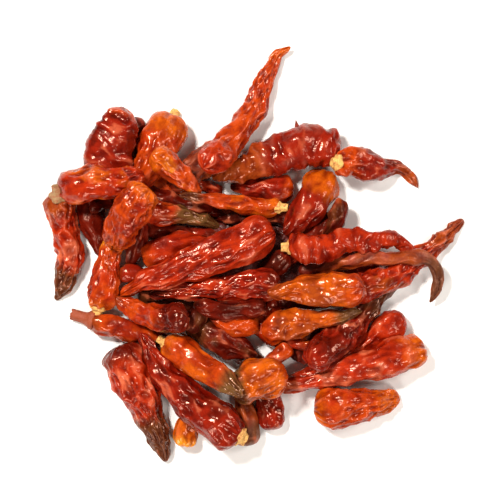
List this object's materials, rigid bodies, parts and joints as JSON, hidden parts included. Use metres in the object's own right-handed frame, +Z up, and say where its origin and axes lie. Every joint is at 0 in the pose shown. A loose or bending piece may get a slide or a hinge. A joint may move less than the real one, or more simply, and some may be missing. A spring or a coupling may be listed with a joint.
{
  "type": "heap of dried chillies",
  "caption": "Loose heap of small whole dried red chillies, wrinkled and glossy, a few with cut stalks, lying as tipped out on a table.",
  "frame": {"origin": "on the table under the middle of the heap, on the flat underside of its core", "axes": "+Z up; +X to the right and +Y away, seen from above as in the picture with its top edge away"},
  "size_m": [0.1473, 0.1468, 0.0253],
  "materials": {
    "dried_chilli_skin": "satin"
  },
  "bodies": {
    "root": {"chilli_heap": "dried_chilli_skin"}
  },
  "joints": []
}
